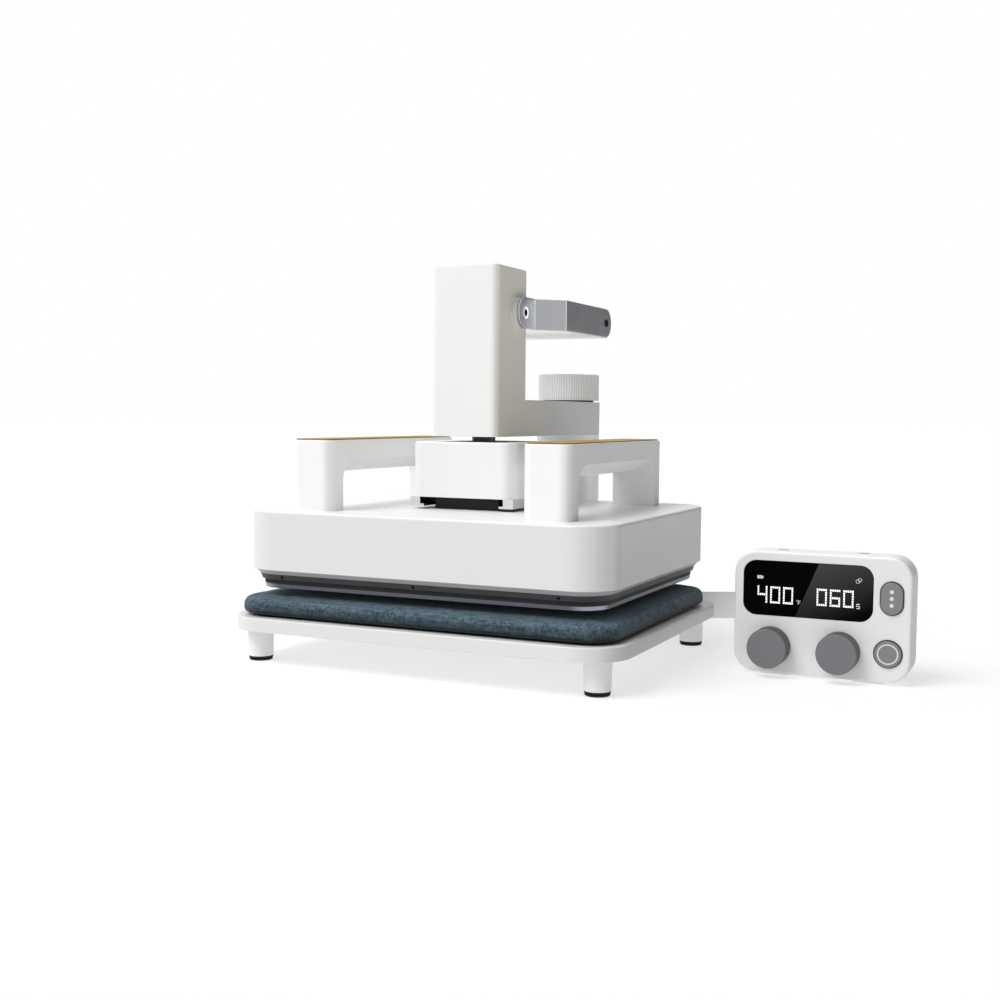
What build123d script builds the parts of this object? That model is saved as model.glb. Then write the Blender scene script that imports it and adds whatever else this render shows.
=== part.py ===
"""Swing-arm heat press with a removable heat head and a docked control box.

Working axes while modelling: X to the operator's right, Y to the back, Z up.
X = 0 is the press's symmetry plane, Y = 0 the middle of the heated plate and
Z = 0 the table top. Every part is moved by ORIGIN_SHIFT when it is saved, so
that the finished model's origin is the middle of its footprint.
All sizes are in millimetres.
"""

import math
import os

from build123d import *

# ---------------------------------------------------------------- driving sizes
# Platform and legs
PLATFORM_W, PLATFORM_D, PLATFORM_T = 429.0, 354.4, 14.0
PLATFORM_R = 45.0
LEG_X, LEG_Y = 186.7, 145.4
LEG_TOP_R, LEG_FOOT_R = 13.5, 12.7
LEG_H = 33.8
FOOT_H = 4.5

# Pressing pad
PAD_W, PAD_FRONT, PAD_BACK = 414.0, -170.0, 150.0
PAD_T, PAD_SHEET_T = 18.2, 2.0
PAD_SHEET_INSET = 9.0

# Heat head
PLATEN_W, PLATEN_D, PLATEN_T = 380.0, 305.0, 4.3
PLATEN_R = 30.0
PLATEN_Z = 76.4
SHELL_W, SHELL_D, SHELL_R = 401.4, 328.6, 40.0
SHELL_Z0, SHELL_Z1 = 95.6, 156.0
SHELL_WALL = 3.0
SKIRT_CREASE_Z, SKIRT_Z0 = 91.0, 85.3

# Handles of the heat head
HANDLE_XI, HANDLE_XO = 105.2, 154.0
HANDLE_Y0, HANDLE_Y1 = -139.4, 132.4
HANDLE_LEG_Y0, HANDLE_LEG_Y1 = -115.6, 108.1
HANDLE_TOP = 227.9
FINGER_GAP_R = 22.0
GRIP_SIDE_Z, GRIP_RIDGE_Z = 208.0, 193.3
STRIP_T = 1.2

# Plunger and quick-release coupling
AXIS_Y = -4.0
PLUNGER_R = 12.4
COUPLING_HW = 59.4
COUPLING_Y0, COUPLING_Y1 = -57.0, 49.0
COUPLING_Z0, COUPLING_Z1 = 168.7, 226.4
COUPLING_R = 14.0
RAIL_Z0 = 159.1
PRESS_TRAVEL = 8.0

# Column, arm and post
COLUMN_HW = 38.2
COLUMN_Y0, COLUMN_Y1 = -53.4, 23.4
COLUMN_Z0, COLUMN_Z1 = 232.0, 407.2
COLUMN_R = 7.0
COLUMN_WALL = 4.0
ARM_Z0, ARM_Z1 = 232.0, 270.8
POST_Y, POST_R = 232.0, 38.2
POST_TOP = 231.3
BASE_END_R, BASE_T = 52.2, 12.0
SPIGOT_R, SPIGOT_TOP = 20.0, 262.0

# Clamping knob on the post axis
KNOB_R, KNOB_Z0, KNOB_Z1 = 37.1, 273.0, 304.3
KNOB_DISC_R = 30.5
FLUTES = 76

# Lever
PIVOT_Z = 361.1
LEVER_HALF_H = 16.2
LEVER_T = 3.0
LEVER_IN_X, LEVER_OUT_X = 47.5, 73.0
LEVER_BEND_Y = 20.5
GRIP_Y = 166.0
LEVER_SWING = math.radians(165)
CAM_LIFT_RATE = PRESS_TRAVEL / LEVER_SWING
CAM_BASE = 12.0
SHAFT_R = 8.0
PIVOT_HEAD_R, PIVOT_HEAD_H, PIVOT_HEAD_PROUD = 6.3, 2.8, 0.6
RUNNING_FIT = 0.05

# Control box
BOX_X, BOX_W = 354.5, 170.0
BOX_Y0, BOX_Y1 = 16.0, 56.0
BOX_Z0, BOX_Z1 = 2.0, 122.8
BOX_R, BOX_WALL = 22.0, 2.5
BOX_SPLIT_Y = 40.0
WINDOW_X, WINDOW_Z, WINDOW_W, WINDOW_H = 341.2, 86.6, 125.5, 54.4
DIAL_XS, DIAL_Z, DIAL_R, DIAL_L = (306.8, 373.6), 29.4, 19.5, 19.0
MENU_X, MENU_Z, MENU_W, MENU_H = 421.0, 84.0, 21.5, 31.8
START_X, START_Z, START_R = 418.6, 30.8, 13.2
BUTTON_PROUD, BUTTON_ROUND = 2.2, 1.8
TOP_KEY_X, TOP_KEY_Y = 313.0, 36.0
PORT_X, PORT_Y = 390.0, 44.0

# Flat bar that carries the control box
BAR_T, BAR_Z0, BAR_Z1 = 3.0, 24.0, 54.1
BAR_START_X, BAR_LEAVE_X = 95.0, 176.0

FOOTPRINT_X = (-PLATFORM_W / 2 + BOX_X + BOX_W / 2) / 2
FOOTPRINT_Y = (-PLATFORM_D / 2 + POST_Y + BASE_END_R) / 2
ORIGIN_SHIFT = Pos(-FOOTPRINT_X, -FOOTPRINT_Y, 0)

PLATFORM_TOP = LEG_H + PLATFORM_T
BAR_BOLT_Z = LEG_H + PLATFORM_T / 2
PAD_MID_Y = (PAD_FRONT + PAD_BACK) / 2
COLUMN_MID_Y = (COLUMN_Y0 + COLUMN_Y1) / 2
COUPLING_MID_Y = (COUPLING_Y0 + COUPLING_Y1) / 2


# ------------------------------------------------------------------ small tools
def block(x0, x1, y0, y1, z0, z1):
    """Box between two corners."""
    solid = Box(x1 - x0, y1 - y0, z1 - z0)
    return Pos((x0 + x1) / 2, (y0 + y1) / 2, (z0 + z1) / 2) * solid


def rounded(width, depth, radius, z0, z1, x=0.0, y=0.0):
    """Upright block with rounded vertical corners."""
    return Pos(x, y, z0) * extrude(RectangleRounded(width, depth, radius), z1 - z0)


def rod(radius, z0, z1, x=0.0, y=0.0):
    """Upright cylinder."""
    return Pos(x, y, (z0 + z1) / 2) * Cylinder(radius, z1 - z0)


def rod_x(radius, x0, x1, y, z):
    """Cylinder along X."""
    return Pos((x0 + x1) / 2, y, z) * Rot(Y=90) * Cylinder(radius, x1 - x0)


def rod_y(radius, y0, y1, x, z):
    """Cylinder along Y."""
    return Pos(x, (y0 + y1) / 2, z) * Rot(X=90) * Cylinder(radius, y1 - y0)


def ring(outer, inner, z0, z1, x=0.0, y=0.0):
    """Upright tube."""
    return rod(outer, z0, z1, x, y) - rod(inner, z0 - 1, z1 + 1, x, y)


def upright_edges(solid):
    return solid.edges().filter_by(Axis.Z)


def top_rim(solid):
    return solid.faces().sort_by(Axis.Z)[-1].edges()


def bottom_rim(solid):
    return solid.faces().sort_by(Axis.Z)[0].edges()


def socket_screw(head_r, head_h, thread_r, length):
    """Screw along +Z with its head's top at Z = 0 and its thread pointing down."""
    screw = rod(head_r, -head_h, 0) + rod(thread_r, -head_h - length, -head_h)
    socket = extrude(RegularPolygon(head_r * 0.6, 6), -head_h * 0.75)
    return screw - socket


def save(name, *solids):
    """Write one node's solids to its own STEP file."""
    moved = [ORIGIN_SHIFT * solid for solid in solids]
    shape = moved[0] if len(moved) == 1 else Compound(children=moved)
    export_step(shape, os.path.join("parts", name + ".step"))


# ------------------------------------------------------------ platform and post
def base_platform():
    """Tray-shaped casting: thin top, deep rim, ribs and bolt bosses below."""
    rim, skin = 4.0, 3.5
    body = rounded(PLATFORM_W, PLATFORM_D, PLATFORM_R, LEG_H, PLATFORM_TOP)
    body = fillet(top_rim(body), 1.6)
    body = fillet(bottom_rim(body), 0.8)
    body -= rounded(PLATFORM_W - 2 * rim, PLATFORM_D - 2 * rim, PLATFORM_R - rim,
                    LEG_H - 1, PLATFORM_TOP - skin)
    inner_x, inner_y = PLATFORM_W / 2 - rim / 2, PLATFORM_D / 2 - rim / 2
    rib_top = PLATFORM_TOP - skin + 0.5
    for x in (-110, 0, 110):
        body += block(x - 1.5, x + 1.5, -inner_y, inner_y, LEG_H + 3, rib_top)
    for y in (-90, 0, 90):
        body += block(-inner_x, inner_x, y - 1.5, y + 1.5, LEG_H + 3, rib_top)
    for x, y in leg_places() + base_bolt_places():
        body += rod(14.0, LEG_H, rib_top, x, y)
    for x, y in leg_places():
        body -= rod(3.0, LEG_H - 1, rib_top - 2, x, y)
    for x, y in base_bolt_places():
        body -= rod(3.0, LEG_H - 1, rib_top - 2, x, y)
    for x in bar_bolt_xs():
        body -= rod_y(2.5, PLATFORM_D / 2 - 8, PLATFORM_D / 2 + 1, x, BAR_BOLT_Z)
    return body


def leg_places():
    return [(sx * LEG_X, sy * LEG_Y) for sx in (-1, 1) for sy in (-1, 1)]


def base_bolt_places():
    return [(sx * 34.0, y) for sx in (-1, 1) for y in (95.0, 150.0)]


def bar_bolt_xs():
    return (112.0, 152.0)


def platform_legs():
    """Four tapered legs bored for their bolts, and two pillars under the post's plate."""
    legs = []
    for x, y in leg_places():
        leg = Pos(x, y, (FOOT_H + LEG_H) / 2) * Cone(LEG_FOOT_R, LEG_TOP_R, LEG_H - FOOT_H)
        legs.append(leg - rod(3.0, FOOT_H - 1, LEG_H + 1, x, y))
    for x, y in rear_support_places():
        legs.append(rod(LEG_FOOT_R, FOOT_H, LEG_H - BASE_T, x, y))
    return legs


def rear_support_places():
    return [(-30.0, POST_Y + 21.0), (30.0, POST_Y + 21.0)]


def rubber_feet():
    """Stepped rubber feet under the four legs and under the post's base plate."""
    feet = []
    for x, y in leg_places() + rear_support_places():
        foot = rod(11.9, 0, 2.0, x, y) + rod(11.4, 2.0, 2.5, x, y)
        foot += rod(12.4, 2.5, FOOT_H, x, y)
        feet.append(chamfer(bottom_rim(foot), 0.6))
    return feet


def post_base():
    """Steel plate bolted under the platform; its round end carries the post."""
    under = LEG_H - BASE_T
    plate = block(-BASE_END_R, BASE_END_R, 78.0, POST_Y, under, LEG_H)
    plate = fillet(upright_edges(plate).sort_by(Axis.Y)[:2], 12.0)
    plate += rod(BASE_END_R, under, LEG_H, 0, POST_Y)
    for x, y in base_bolt_places():
        plate -= rod(3.2, under - 1, LEG_H + 1, x, y)
    for loc in post_bolt_places():
        plate -= loc * Cylinder(3.0, 60)
    return chamfer(bottom_rim(plate), 0.8)


def post_bolt_places():
    return [Pos(0, POST_Y, LEG_H) * loc for loc in PolarLocations(29.0, 4)]


def post():
    """Tube with a closed foot and the spigot on which the arm swings."""
    wall = 5.0
    tube = rod(POST_R, LEG_H, POST_TOP, 0, POST_Y)
    tube -= rod(POST_R - wall, LEG_H + 12, POST_TOP - 12, 0, POST_Y)
    tube += rod(SPIGOT_R, POST_TOP - 1, SPIGOT_TOP, 0, POST_Y)
    tube -= rod(SHAFT_R + RUNNING_FIT, POST_TOP - 11, SPIGOT_TOP + 1, 0, POST_Y)
    for loc in post_bolt_places():
        tube -= loc * Cylinder(3.0, 20)
    return tube


def frame_bolts():
    """Bolts of the legs, of the post with its base plate, and of the flat bar."""
    bolts = [rod(3.0, FOOT_H, PLATFORM_TOP - 8.0, x, y) for x, y in leg_places()]
    head_z = LEG_H - BASE_T
    for x, y in base_bolt_places():
        bolts.append(rod(3.0, head_z, LEG_H + 6, x, y) + rod(5.5, head_z - 5, head_z, x, y))
    for loc in post_bolt_places():
        stem = loc * Pos(0, 0, -2.0) * Cylinder(3.0, 20)
        bolts.append(stem + loc * Pos(0, 0, -14.0) * Cylinder(5.5, 4))
    y0 = PLATFORM_D / 2
    for x in bar_bolt_xs():
        bolt = rod_y(2.5, y0 - 7, y0 + BAR_T, x, BAR_BOLT_Z)
        bolts.append(bolt + rod_y(4.6, y0 + BAR_T, y0 + BAR_T + 3, x, BAR_BOLT_Z))
    return bolts


def swing_washer():
    return ring(POST_R - 1.0, SPIGOT_R + 0.1, POST_TOP, ARM_Z0 - 0.05, 0, POST_Y)


# ------------------------------------------------------------------ pad
def pad_sheet():
    """Black anti-slip sheet under the pad."""
    width = PAD_W - 2 * PAD_SHEET_INSET
    depth = PAD_BACK - PAD_FRONT - 2 * PAD_SHEET_INSET
    z1 = PLATFORM_TOP + PAD_SHEET_T
    return rounded(width, depth, 27.0, PLATFORM_TOP, z1, 0, PAD_MID_Y)


def pad():
    """Cloth-covered foam pad with a well rounded edge."""
    z0 = PLATFORM_TOP + PAD_SHEET_T
    body = rounded(PAD_W, PAD_BACK - PAD_FRONT, 36.0, z0, z0 + PAD_T, 0, PAD_MID_Y)
    edge = PAD_T * 0.46
    body = fillet(top_rim(body), edge)
    return fillet(bottom_rim(body), edge)


# ------------------------------------------------------------------ arm and column
def arm_housing():
    """One casting: hollow upright column and the arm behind it with its round end."""
    width, depth = 2 * COLUMN_HW, COLUMN_Y1 - COLUMN_Y0
    column = rounded(width, depth, COLUMN_R, COLUMN_Z0, COLUMN_Z1, 0, COLUMN_MID_Y)
    column = fillet(top_rim(column), 1.2)
    arm = block(-COLUMN_HW, COLUMN_HW, COLUMN_Y1 - 9, POST_Y, ARM_Z0, ARM_Z1)
    arm += rod(COLUMN_HW, ARM_Z0, ARM_Z1, 0, POST_Y)
    arm = fillet(top_rim(arm).filter_by(lambda e: e.center().Y > COLUMN_Y1 + 1), 1.5)
    body = column + arm
    wall = 2 * COLUMN_WALL
    body -= rounded(width - wall, depth - wall, 2.5, COLUMN_Z0 - 1, COLUMN_Z1 - 4, 0, COLUMN_MID_Y)
    body -= rod_x(12.0, -COLUMN_HW - 1, COLUMN_HW + 1, AXIS_Y, PIVOT_Z)
    body -= back_opening(24.0, 8.0, COLUMN_Y1 - 6)
    body -= back_opening(28.0, 4.0, COLUMN_Y1 - 2)
    body -= rounded(64.0, 128.0, 8.0, ARM_Z0 - 1, ARM_Z1 - 6, 0, 102.0)
    body -= rounded(70.0, 134.0, 8.0, ARM_Z0 - 1, ARM_Z0 + 2.5, 0, 102.0)
    body -= rod(SPIGOT_R + 4.0, ARM_Z0 - 1, SPIGOT_TOP + 0.3, 0, POST_Y)
    return body - rod(SHAFT_R + RUNNING_FIT, ARM_Z0, ARM_Z1 + 1, 0, POST_Y)


def back_opening(half_width, inset, y0):
    """Upright block that reaches out of the column's back from the depth y0."""
    return block(-half_width, half_width, y0, COLUMN_Y1 + 1, 284.0 + inset, 398.0 - inset)


def back_cover():
    """Plate let flush into the column's back."""
    return back_opening(28.0, 4.0, COLUMN_Y1 - 2) & block(-40, 40, 0, COLUMN_Y1, 200, 420)


def arm_cover():
    return rounded(69.6, 133.6, 7.8, ARM_Z0, ARM_Z0 + 2.5, 0, 102.0)


def swing_bush():
    return ring(SPIGOT_R + 4.0, SPIGOT_R + RUNNING_FIT, ARM_Z0 + 0.3, SPIGOT_TOP, 0, POST_Y)


def column_floor():
    """Plate that closes the column's lower end and holds the guide bush."""
    width, depth = 2 * COLUMN_HW - 2 * COLUMN_WALL, COLUMN_Y1 - COLUMN_Y0 - 2 * COLUMN_WALL
    plate = rounded(width, depth, 2.5, COLUMN_Z0 + 0.5, COLUMN_Z0 + 8, 0, COLUMN_MID_Y)
    return plate - rod(17.5, COLUMN_Z0 - 1, COLUMN_Z0 + 9, 0, AXIS_Y)


def guide_bush():
    return ring(17.5, PLUNGER_R + RUNNING_FIT, COLUMN_Z0 + 0.5, COLUMN_Z0 + 20, 0, AXIS_Y)


def pivot_bosses():
    """White bushes in the column's side walls, with a hexagon and a round collar outside."""
    bosses = []
    for side in (-1, 1):
        face = side * COLUMN_HW
        flange_end = side * (LEVER_IN_X - LEVER_T - 0.1)
        inner_end = side * (COLUMN_HW - COLUMN_WALL - 3.0)
        boss = rod_x(LEVER_HALF_H, min(face, flange_end), max(face, flange_end), AXIS_Y, PIVOT_Z)
        hexagon = Plane.YZ * Pos(AXIS_Y, PIVOT_Z) * RegularPolygon(18.8, 6)
        boss += Pos(face, 0, 0) * extrude(hexagon, side * 2.4)
        boss += rod_x(12.0, min(inner_end, face), max(inner_end, face), AXIS_Y, PIVOT_Z)
        boss -= rod_x(SHAFT_R + RUNNING_FIT, -60, 60, AXIS_Y, PIVOT_Z)
        bosses.append(boss)
    return bosses


def return_spring():
    """Coil that lifts the plunger back up."""
    z0, z1 = COLUMN_Z0 + 20.0, PIVOT_Z - CAM_BASE - 10.2
    wire, radius, turns = 1.1, 15.7, 8
    height = z1 - z0 - 2 * wire
    path = Helix(pitch=height / turns, height=height, radius=radius)
    section = Plane(origin=path @ 0, z_dir=path % 0) * Circle(wire)
    return Pos(0, AXIS_Y, z0 + wire) * sweep(section, path=path)


# ------------------------------------------------------------------ clamping knob
def clamp_knob():
    """Fluted hand knob with a shallow dish in its top."""
    body = fillet(top_rim(rod(KNOB_R, KNOB_Z0, KNOB_Z1, 0, POST_Y)), 2.0)
    flute = Cylinder(1.0, 80)
    places = PolarLocations(KNOB_R + 0.4, FLUTES)
    body -= [Pos(0, POST_Y, KNOB_Z0) * place * flute for place in places]
    body -= rod(KNOB_R - 6.0, KNOB_Z1 - 0.8, KNOB_Z1 + 1, 0, POST_Y)
    return body - rod(6.0, KNOB_Z0 - 1, KNOB_Z0 + 18, 0, POST_Y)


def knob_spindle():
    """Clamping stud: runs down into the post's spigot and carries the knob."""
    stud = rod(SHAFT_R, POST_TOP - 8, ARM_Z1, 0, POST_Y)
    stud += rod(KNOB_DISC_R, ARM_Z1 + 0.15, KNOB_Z0, 0, POST_Y)
    stud += rod(SHAFT_R, ARM_Z1 - 1, ARM_Z1 + 1, 0, POST_Y)
    return stud + rod(6.0, KNOB_Z0 - 0.5, KNOB_Z0 + 18, 0, POST_Y)


# ------------------------------------------------------------------ lever
def lever_plate(side):
    """Joggled flat bar: beside the column, out at 45 degrees, then straight back."""
    step = LEVER_OUT_X - LEVER_IN_X
    shift = LEVER_T * math.tan(math.radians(22.5))
    start, end = AXIS_Y - 30.0, GRIP_Y + 30.0
    outer = [(LEVER_IN_X, start), (LEVER_IN_X, LEVER_BEND_Y),
             (LEVER_OUT_X, LEVER_BEND_Y + step), (LEVER_OUT_X, end)]
    inner = [(LEVER_OUT_X - LEVER_T, end), (LEVER_OUT_X - LEVER_T, LEVER_BEND_Y + step + shift),
             (LEVER_IN_X - LEVER_T, LEVER_BEND_Y + shift), (LEVER_IN_X - LEVER_T, start)]
    plan = make_face(Polyline(*outer, *inner, close=True))
    bends = plan.vertices().filter_by(lambda v: start + 1 < v.Y < end - 1)
    plan = fillet(bends, 3.0)
    bar = Pos(0, 0, PIVOT_Z - 20) * extrude(plan, 40)
    length = GRIP_Y - AXIS_Y + 2 * LEVER_HALF_H
    profile = Plane.YZ * Pos((GRIP_Y + AXIS_Y) / 2, PIVOT_Z) * SlotOverall(length, 2 * LEVER_HALF_H)
    bar &= Pos(LEVER_IN_X - 10, 0, 0) * extrude(profile, 50)
    sunk = PIVOT_HEAD_H - PIVOT_HEAD_PROUD
    bar -= rod_x(3.0, 30, 90, AXIS_Y, PIVOT_Z)
    bar -= rod_x(PIVOT_HEAD_R, LEVER_IN_X - sunk, LEVER_IN_X + 5, AXIS_Y, PIVOT_Z)
    bar -= rod_x(2.5, 30, 90, GRIP_Y, PIVOT_Z)
    return bar if side > 0 else mirror(bar, about=Plane.YZ)


def lever_grip():
    """Cross bar held between the two plates."""
    half = LEVER_OUT_X - LEVER_T
    section = Plane.YZ * Pos(GRIP_Y, PIVOT_Z) * RectangleRounded(30.0, 33.6, 8.0)
    bar = Pos(-half, 0, 0) * extrude(section, 2 * half)
    return bar - rod_x(2.5, -half - 1, -half + 20, GRIP_Y, PIVOT_Z) \
        - rod_x(2.5, half - 20, half + 1, GRIP_Y, PIVOT_Z)


def lever_shaft():
    half = LEVER_IN_X - LEVER_T
    shaft = rod_x(SHAFT_R, -half, half, AXIS_Y, PIVOT_Z)
    for side in (-1, 1):
        shaft -= rod_x(3.0, side * half - 16, side * half + 16, AXIS_Y, PIVOT_Z)
    return shaft


def cam_point(swing):
    """Point of the cam's outline that touches a flat follower at that swing."""
    angle = -math.pi / 2 - swing
    reach = CAM_BASE + CAM_LIFT_RATE * swing
    y = reach * math.cos(angle) + CAM_LIFT_RATE * math.sin(angle)
    z = reach * math.sin(angle) - CAM_LIFT_RATE * math.cos(angle)
    return (y, z)


def lever_cam():
    """Cam whose lift grows evenly with the lever's swing."""
    steps = 22
    points = [cam_point(LEVER_SWING * i / steps) for i in range(steps + 1)]
    for degrees, radius in ((78, 16.5), (45, 12.6), (0, 11.6), (-45, 11.6)):
        angle = math.radians(degrees)
        points.append((radius * math.cos(angle), radius * math.sin(angle)))
    face = make_face(Spline(*points, periodic=True))
    cam = extrude(Plane.YZ * face, 8.0, both=True)
    return Pos(0, AXIS_Y, PIVOT_Z) * cam - rod_x(SHAFT_R, -20, 20, AXIS_Y, PIVOT_Z)


def pivot_screws():
    screws = []
    for side in (-1, 1):
        screw = Rot(Y=90 * side) * socket_screw(PIVOT_HEAD_R, PIVOT_HEAD_H, 3.0, LEVER_T + 10)
        screws.append(Pos(side * (LEVER_IN_X + PIVOT_HEAD_PROUD), AXIS_Y, PIVOT_Z) * screw)
    return screws


def grip_screws():
    screws = []
    for side in (-1, 1):
        screw = Rot(Y=90 * side) * socket_screw(4.2, 1.2, 2.5, LEVER_T + 12)
        screws.append(Pos(side * (LEVER_OUT_X + 1.2), GRIP_Y, PIVOT_Z) * screw)
    return screws


# ------------------------------------------------------------------ plunger
def plunger_shaft():
    """Shaft from the cam follower down to the flange in the coupling."""
    follower_top = PIVOT_Z - CAM_BASE - 0.25
    shaft = rod(PLUNGER_R, COUPLING_Z0 + 18, COLUMN_Z0 + 30, 0, AXIS_Y)
    shaft += rod(8.0, COLUMN_Z0 + 29, follower_top - 5, 0, AXIS_Y)
    shaft += rod(17.0, follower_top - 10, follower_top, 0, AXIS_Y)
    return shaft + rod(24.0, COUPLING_Z0 + 18, COUPLING_Z0 + 24, 0, AXIS_Y)


def coupling_cover():
    """White cover over the quick-release coupling."""
    width, depth = 2 * COUPLING_HW, COUPLING_Y1 - COUPLING_Y0
    body = rounded(width, depth, COUPLING_R, COUPLING_Z0, COUPLING_Z1, 0, COUPLING_MID_Y)
    body = fillet(top_rim(body), 2.0)
    body -= rounded(width - 7, depth - 7, COUPLING_R - 3.5, COUPLING_Z0 - 1, COUPLING_Z1 - 4,
                    0, COUPLING_MID_Y)
    return body - rod(PLUNGER_R + 0.1, COUPLING_Z1 - 6, COUPLING_Z1 + 1, 0, AXIS_Y)


def coupling_block():
    width, depth = 2 * COUPLING_HW - 7, COUPLING_Y1 - COUPLING_Y0 - 7
    slab = rounded(width, depth, COUPLING_R - 3.5, COUPLING_Z0, COUPLING_Z0 + 18,
                   0, COUPLING_MID_Y)
    for x, y in rail_screw_places():
        slab -= rod(2.5, COUPLING_Z0 - 1, COUPLING_Z0 + 10, x, y)
    return slab


def rail_screw_places():
    return [(sx * 53.0, y) for sx in (-1, 1) for y in (-40.0, 32.0)]


def coupling_rails():
    """Pair of lipped rails that the heat head's mounting plate slides into."""
    rails = []
    for side in (-1, 1):
        rail = block(48.0, COUPLING_HW, COUPLING_Y0, COUPLING_Y1, RAIL_Z0, COUPLING_Z0)
        rail += block(43.3, 48.5, COUPLING_Y0, COUPLING_Y1, RAIL_Z0, RAIL_Z0 + 2.5)
        for y in (-40.0, 32.0):
            rail -= rod(2.5, RAIL_Z0 - 1, COUPLING_Z0 + 1, 53.0, y)
            rail -= rod(4.4, RAIL_Z0 - 1, RAIL_Z0 + 4, 53.0, y)
        rails.append(rail if side > 0 else mirror(rail, about=Plane.YZ))
    return rails


def rail_screws():
    screws = []
    for x, y in rail_screw_places():
        screw = Rot(X=180) * socket_screw(4.2, 3.6, 2.5, 13)
        screws.append(Pos(x, y, RAIL_Z0 + 0.3) * screw)
    return screws


# ------------------------------------------------------------------ heat head
def head_shell():
    """Deep white cover of the heat head, open below."""
    body = rounded(SHELL_W, SHELL_D, SHELL_R, SHELL_Z0, SHELL_Z1)
    body = fillet(top_rim(body), 3.0)
    body = fillet(bottom_rim(body), 0.8)
    wall = 2 * SHELL_WALL
    body -= rounded(SHELL_W - wall, SHELL_D - wall, SHELL_R - SHELL_WALL,
                    SHELL_Z0 - 1, SHELL_Z1 - SHELL_WALL)
    body -= inlet_block(0.0, 20)
    for x, y in mount_screw_places() + handle_screw_places():
        body -= rod(2.5, SHELL_Z1 - 6, SHELL_Z1 + 1, x, y)
    return body


def inlet_block(grow, depth):
    """Space that the mains inlet takes in the shell's back wall."""
    y1 = SHELL_D / 2 + 1.0
    return block(100 - 14 - grow, 100 + 14 + grow, y1 - depth, y1, 115 - grow, 135 + grow)


def power_inlet():
    """Recessed three-pin appliance inlet in the back wall."""
    back = SHELL_D / 2
    body = block(86, 114, back - 18, back, 115, 135)
    body += block(83, 117, back, back + 1.6, 112, 138)
    body -= block(88.5, 111.5, back - 15, back + 3, 117.5, 132.5)
    for x, z in ((93.5, 123.0), (106.5, 123.0), (100.0, 127.5)):
        body += block(x - 1, x + 1, back - 16, back - 7, z - 2, z + 2)
    return body


def head_skirt():
    """Dark skirt from the shell's lower edge in to the heated plate."""
    top = Pos(0, 0, SHELL_Z0) * RectangleRounded(SHELL_W - 3, SHELL_D - 3, SHELL_R - 1.5)
    crease = Pos(0, 0, SKIRT_CREASE_Z) * RectangleRounded(389.0, 316.0, 34.0)
    foot = Pos(0, 0, SKIRT_Z0) * RectangleRounded(385.0, 311.5, 32.0)
    body = loft([crease, top]) + loft([foot, crease])
    lip = rounded(SHELL_W - 7, SHELL_D - 7, SHELL_R - 3.5, SHELL_Z0, SHELL_Z0 + 5)
    body += lip
    body -= rounded(368.0, 294.0, 26.0, SKIRT_Z0 - 1, SHELL_Z0 + 6)
    for x in skirt_screw_xs():
        body -= rod_y(1.7, -SHELL_D / 2, -146.0, x, SKIRT_Z0 + 2.7)
    return body


def skirt_screw_xs():
    return (-152.0, 0.0, 152.0)


def heat_gasket():
    """Black insulating frame between the heated plate and the skirt."""
    frame = rounded(381.0, 306.0, 30.5, PLATEN_Z + PLATEN_T, SKIRT_Z0)
    return frame - rounded(352.0, 278.0, 20.0, PLATEN_Z, SKIRT_Z0 + 1)


def platen():
    """Heated plate: thin visible rim and a thick raised middle."""
    top = PLATEN_Z + PLATEN_T
    plate = rounded(PLATEN_W, PLATEN_D, PLATEN_R, PLATEN_Z, top)
    plate = fillet(bottom_rim(plate), 0.8)
    return plate + rounded(348.0, 274.0, 18.0, top - 1, top + 9)


def heating_element():
    """Tubular heater laid in five passes on the heated plate."""
    z = PLATEN_Z + PLATEN_T + 9 + 4.1
    reach, pitch, passes = 130.0, 50.0, 5
    rows = [(i - (passes - 1) / 2) * pitch for i in range(passes)]
    points = []
    for i, y in enumerate(rows):
        ends = (-reach, reach) if i % 2 == 0 else (reach, -reach)
        points += [(ends[0], y, z), (ends[1], y, z)]
    path = FilletPolyline(*points, radius=pitch * 0.49)
    section = Plane(origin=path @ 0, z_dir=path % 0) * Circle(4.0)
    return sweep(section, path=path)


def insulation_blanket():
    z0 = PLATEN_Z + PLATEN_T + 18
    return rounded(360.0, 286.0, 20.0, z0, z0 + 16)


def thermostat():
    z0 = PLATEN_Z + PLATEN_T + 9
    return rod(8.0, z0, z0 + 6, 0, 25.0) + rod(5.0, z0 + 5, z0 + 8.5, 0, 25.0)


def mount_plate():
    """Black T-shaped plate on top of the shell that slides into the rails."""
    front, back, top = -44.0, 36.0, COUPLING_Z0 - 0.3
    plate = block(-36.8, 36.8, front, back, SHELL_Z1, top)
    plate += block(-47.5, 47.5, front + 8, back, RAIL_Z0 + 2.9, top)
    for x, y in mount_screw_places():
        plate -= rod(2.5, SHELL_Z1 - 1, top - 3, x, y)
    return plate


def mount_screw_places():
    return [(sx * 26.0, y) for sx in (-1, 1) for y in (-30.0, 22.0)]


def handle_screw_places():
    mid = (HANDLE_XI + HANDLE_XO) / 2
    fronts = (HANDLE_Y0 + HANDLE_LEG_Y0) / 2
    backs = (HANDLE_Y1 + HANDLE_LEG_Y1) / 2
    return [(sx * mid, y) for sx in (-1, 1) for y in (fronts, backs)]


def head_screws():
    """Screws of the skirt, and from inside the shell into the plate and handles."""
    screws = [rod_y(1.7, -155.6, -147.0, x, SKIRT_Z0 + 2.7) for x in skirt_screw_xs()]
    z = SHELL_Z1 - SHELL_WALL
    for x, y in mount_screw_places() + handle_screw_places():
        screws.append(rod(2.5, z, SHELL_Z1 + 8, x, y) + rod(4.6, z - 2.5, z, x, y))
    return screws


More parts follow.
